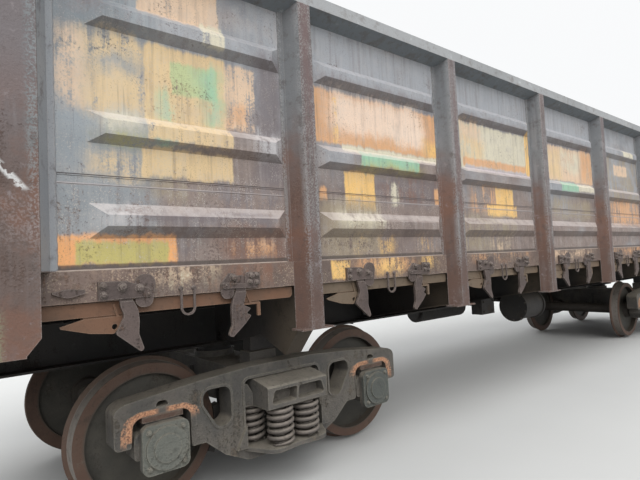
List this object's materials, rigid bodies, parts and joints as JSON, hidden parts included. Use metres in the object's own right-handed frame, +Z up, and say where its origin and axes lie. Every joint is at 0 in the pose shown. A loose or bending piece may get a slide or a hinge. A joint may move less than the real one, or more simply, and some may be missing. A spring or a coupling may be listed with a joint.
{
  "type": "open gondola railway wagon with drop floor hatches",
  "caption": "Open top bogie gondola wagon with ridged side walls and drop floor hatches that empty it downwards; bogies swivel and wheelsets roll.",
  "frame": {"origin": "under the middle of the wagon, at the height of the lowest points of the wheel flanges; the rail head is at z = 0.030 m", "axes": "+X along the wagon, +Y across it to the left side, +Z up"},
  "size_m": [14.14, 3.134, 3.516],
  "materials": {
    "side_paint": "weathered blue grey paint with rust and repainted patches",
    "post_paint": "worn red brown paint with rust",
    "chord_paint": "light grey weathered paint",
    "lower_chord_paint": "rust brown with worn orange paint",
    "hatch_paint": "rusty paint",
    "frame_paint": "dusty dark paint",
    "latch_steel": "rusty forged steel",
    "bogie_cast": "dusty cast steel",
    "spring_steel": "rusty spring steel",
    "wheel_steel": "rust brown rim, bright worn tread",
    "coupler_cast": "rusty cast steel",
    "brake_steel": "dusty dark paint"
  },
  "bodies": {
    "wagon_body": {"air_reservoir": "brake_steel", "bolster_beams": "frame_paint", "bottom_chords": "lower_chord_paint", "brake_cylinder": "brake_steel", "brake_pipe": "brake_steel", "brake_rods": "brake_steel", "brake_valve": "brake_steel", "centre_plates": "frame_paint", "centre_sill": "frame_paint", "corner_posts": "post_paint", "couplers": "coupler_cast", "cross_beams": "frame_paint", "draft_gears": "coupler_cast", "end_beams": "frame_paint", "end_floors": "frame_paint", "end_posts": "post_paint", "end_steps": "brake_steel", "end_walls": "side_paint", "hand_brake": "brake_steel", "hinge_brackets": "frame_paint", "latch_hooks": "latch_steel", "latch_plates": "latch_steel", "side_bearers": "frame_paint", "side_posts": "post_paint", "side_sheets": "side_paint", "strikers": "coupler_cast", "tie_fittings": "latch_steel", "top_chords": "chord_paint", "uncoupling_levers": "brake_steel"},
    "bogie_1": {"bogie_1_axle_boxes": "bogie_cast", "bogie_1_bolster": "bogie_cast", "bogie_1_brake_gear": "brake_steel", "bogie_1_side_frames": "bogie_cast", "bogie_1_springs": "spring_steel", "bogie_1_wedges": "bogie_cast"},
    "bogie_2": {"bogie_2_axle_boxes": "bogie_cast", "bogie_2_bolster": "bogie_cast", "bogie_2_brake_gear": "brake_steel", "bogie_2_side_frames": "bogie_cast", "bogie_2_springs": "spring_steel", "bogie_2_wedges": "bogie_cast"},
    "hatch_left_1": {"hatch_left_1": "hatch_paint"},
    "hatch_left_2": {"hatch_left_2": "hatch_paint"},
    "hatch_left_3": {"hatch_left_3": "hatch_paint"},
    "hatch_left_4": {"hatch_left_4": "hatch_paint"},
    "hatch_left_5": {"hatch_left_5": "hatch_paint"},
    "hatch_left_6": {"hatch_left_6": "hatch_paint"},
    "hatch_left_7": {"hatch_left_7": "hatch_paint"},
    "hatch_right_1": {"hatch_right_1": "hatch_paint"},
    "hatch_right_2": {"hatch_right_2": "hatch_paint"},
    "hatch_right_3": {"hatch_right_3": "hatch_paint"},
    "hatch_right_4": {"hatch_right_4": "hatch_paint"},
    "hatch_right_5": {"hatch_right_5": "hatch_paint"},
    "hatch_right_6": {"hatch_right_6": "hatch_paint"},
    "hatch_right_7": {"hatch_right_7": "hatch_paint"},
    "wheelset_1": {"wheelset_1": "wheel_steel"},
    "wheelset_2": {"wheelset_2": "wheel_steel"},
    "wheelset_3": {"wheelset_3": "wheel_steel"},
    "wheelset_4": {"wheelset_4": "wheel_steel"}
  },
  "joints": [
    {"name": "bogie_1_swivel", "type": "hinge", "parent": "wagon_body", "child": "bogie_1", "pos_m": [-4.325, 0, 0.831], "axis": [0, 0, 1], "range_deg": [-4, 4]},
    {"name": "bogie_2_swivel", "type": "hinge", "parent": "wagon_body", "child": "bogie_2", "pos_m": [4.325, 0, 0.831], "axis": [0, 0, 1], "range_deg": [-4, 4]},
    {"name": "wheelset_1_spin", "type": "hinge", "parent": "bogie_1", "child": "wheelset_1", "pos_m": [-5.25, 0, 0.505], "axis": [0, 1, 0], "continuous": true},
    {"name": "wheelset_2_spin", "type": "hinge", "parent": "bogie_1", "child": "wheelset_2", "pos_m": [-3.4, 0, 0.505], "axis": [0, 1, 0], "continuous": true},
    {"name": "wheelset_3_spin", "type": "hinge", "parent": "bogie_2", "child": "wheelset_3", "pos_m": [3.4, 0, 0.505], "axis": [0, 1, 0], "continuous": true},
    {"name": "wheelset_4_spin", "type": "hinge", "parent": "bogie_2", "child": "wheelset_4", "pos_m": [5.25, 0, 0.505], "axis": [0, 1, 0], "continuous": true},
    {"name": "hatch_left_1_drop", "type": "hinge", "parent": "wagon_body", "child": "hatch_left_1", "pos_m": [-5.21, 0.135, 1.4], "axis": [-1, 0, 0], "range_deg": [0, 22]},
    {"name": "hatch_left_2_drop", "type": "hinge", "parent": "wagon_body", "child": "hatch_left_2", "pos_m": [-3.46, 0.135, 1.4], "axis": [-1, 0, 0], "range_deg": [0, 22]},
    {"name": "hatch_left_3_drop", "type": "hinge", "parent": "wagon_body", "child": "hatch_left_3", "pos_m": [-1.73, 0.135, 1.4], "axis": [-1, 0, 0], "range_deg": [0, 31]},
    {"name": "hatch_left_4_drop", "type": "hinge", "parent": "wagon_body", "child": "hatch_left_4", "pos_m": [0, 0.135, 1.4], "axis": [-1, 0, 0], "range_deg": [0, 31]},
    {"name": "hatch_left_5_drop", "type": "hinge", "parent": "wagon_body", "child": "hatch_left_5", "pos_m": [1.73, 0.135, 1.4], "axis": [-1, 0, 0], "range_deg": [0, 31]},
    {"name": "hatch_left_6_drop", "type": "hinge", "parent": "wagon_body", "child": "hatch_left_6", "pos_m": [3.46, 0.135, 1.4], "axis": [-1, 0, 0], "range_deg": [0, 22]},
    {"name": "hatch_left_7_drop", "type": "hinge", "parent": "wagon_body", "child": "hatch_left_7", "pos_m": [5.21, 0.135, 1.4], "axis": [-1, 0, 0], "range_deg": [0, 22]},
    {"name": "hatch_right_1_drop", "type": "hinge", "parent": "wagon_body", "child": "hatch_right_1", "pos_m": [-5.21, -0.135, 1.4], "axis": [1, 0, 0], "range_deg": [0, 22]},
    {"name": "hatch_right_2_drop", "type": "hinge", "parent": "wagon_body", "child": "hatch_right_2", "pos_m": [-3.46, -0.135, 1.4], "axis": [1, 0, 0], "range_deg": [0, 22]},
    {"name": "hatch_right_3_drop", "type": "hinge", "parent": "wagon_body", "child": "hatch_right_3", "pos_m": [-1.73, -0.135, 1.4], "axis": [1, 0, 0], "range_deg": [0, 31]},
    {"name": "hatch_right_4_drop", "type": "hinge", "parent": "wagon_body", "child": "hatch_right_4", "pos_m": [0, -0.135, 1.4], "axis": [1, 0, 0], "range_deg": [0, 31]},
    {"name": "hatch_right_5_drop", "type": "hinge", "parent": "wagon_body", "child": "hatch_right_5", "pos_m": [1.73, -0.135, 1.4], "axis": [1, 0, 0], "range_deg": [0, 31]},
    {"name": "hatch_right_6_drop", "type": "hinge", "parent": "wagon_body", "child": "hatch_right_6", "pos_m": [3.46, -0.135, 1.4], "axis": [1, 0, 0], "range_deg": [0, 22]},
    {"name": "hatch_right_7_drop", "type": "hinge", "parent": "wagon_body", "child": "hatch_right_7", "pos_m": [5.21, -0.135, 1.4], "axis": [1, 0, 0], "range_deg": [0, 22]}
  ]
}
